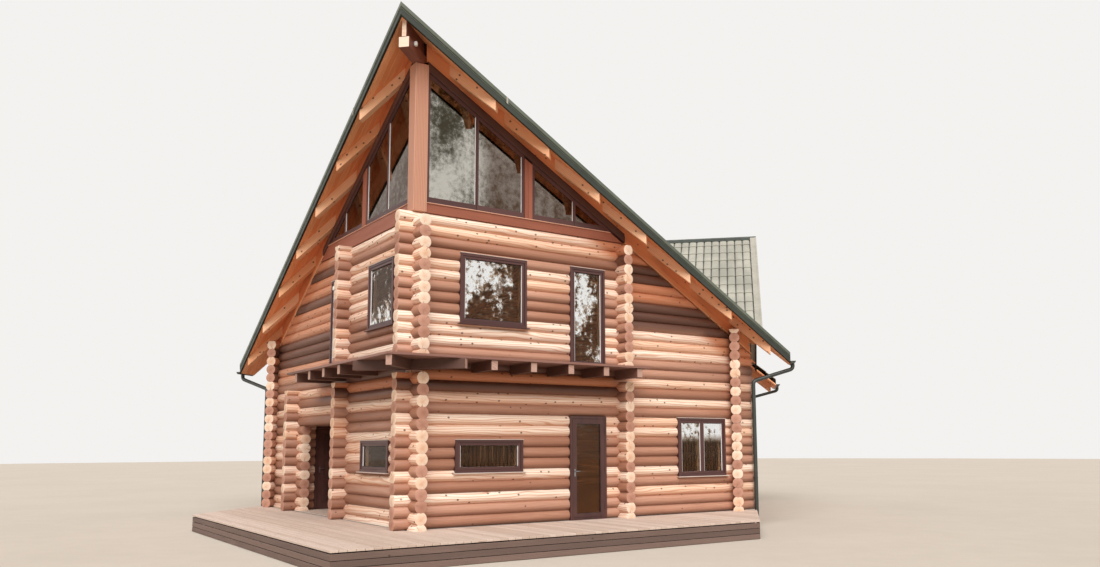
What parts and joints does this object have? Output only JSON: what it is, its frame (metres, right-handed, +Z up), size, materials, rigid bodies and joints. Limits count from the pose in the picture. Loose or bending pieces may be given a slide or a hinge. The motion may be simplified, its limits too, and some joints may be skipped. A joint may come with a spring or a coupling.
{
  "type": "log cabin",
  "caption": "Two-storey round-log house with a glazed prow, a steep tiled roof with cross gables, a balcony round the prow, an entrance niche and a deck.",
  "frame": {"origin": "on the ground under the ridge, on the line between the two wing corners", "axes": "+Z up, ridge along Y with the prow to -Y, +X to the right of someone who faces the prow"},
  "size_m": [15.58, 21.4138, 10.665],
  "materials": {
    "log_wood": "varnished",
    "planed_wood": "planed",
    "pale_wood": "planed",
    "rafter_wood": "varnished",
    "soffit_wood": "varnished",
    "brown_wood": "varnished",
    "dark_trim_wood": "varnished",
    "window_wood": "varnished",
    "door_wood": "varnished",
    "balcony_wood": "oiled",
    "deck_wood": "oiled",
    "deck_skirt_wood": "oiled",
    "floor_boards": "planed",
    "concrete": "matt",
    "roof_tiles": "satin",
    "roof_metal_dark": "satin",
    "gutter_metal": "satin",
    "glass": "clear",
    "steel": "brushed"
  },
  "bodies": {
    "house": {"back_wall": "log_wood", "balcony_beams": "brown_wood", "balcony_boards": "balcony_wood", "balcony_doors_frames": "window_wood", "balcony_doors_glass": "glass", "balcony_joists": "brown_wood", "cross_log_ends": "log_wood", "cross_roof_boards": "soffit_wood", "cross_roof_cover": "roof_tiles", "deck_bearers": "deck_wood", "deck_boards": "deck_wood", "deck_skirt": "deck_skirt_wood", "downpipes": "gutter_metal", "entrance_door_frame": "window_wood", "foundation": "concrete", "gable_frames": "window_wood", "gable_glass": "glass", "gable_post": "planed_wood", "gable_rakes": "dark_trim_wood", "gable_sills": "brown_wood", "ground_floor": "floor_boards", "gutters": "gutter_metal", "left_roof_boards": "soffit_wood", "left_roof_cover": "roof_tiles", "left_wall_ground": "log_wood", "left_wall_upper": "log_wood", "niche_back_wall": "log_wood", "niche_door_wall": "log_wood", "niche_near_wall": "log_wood", "niche_wall_over_door": "log_wood", "rafters": "rafter_wood", "rear_windows_frames": "window_wood", "rear_windows_glass": "glass", "ridge_beam": "pale_wood", "right_roof_boards": "soffit_wood", "right_roof_cover": "roof_tiles", "right_wall_ground": "log_wood", "right_wall_upper": "log_wood", "side_walls": "log_wood", "terrace_door_frame": "window_wood", "upper_floor": "floor_boards", "verge_boards": "roof_metal_dark", "wing_windows_frames": "window_wood", "wing_windows_glass": "glass"},
    "terrace_door": {"terrace_door_leaf": "window_wood", "terrace_door_glass": "glass", "terrace_door_handle": "steel"},
    "entrance_door": {"entrance_door_leaf": "door_wood", "entrance_door_handle": "steel"}
  },
  "joints": [
    {"name": "terrace_door_hinge", "type": "hinge", "parent": "house", "child": "terrace_door", "pos_m": [3.34285, -3.12636, 1.51], "axis": [0, 0, 1], "range_deg": [0, 95]},
    {"name": "entrance_door_hinge", "type": "hinge", "parent": "house", "child": "entrance_door", "pos_m": [-3.806, -0.60198, 1.45375], "axis": [0, 0, 1], "range_deg": [0, 95]}
  ]
}
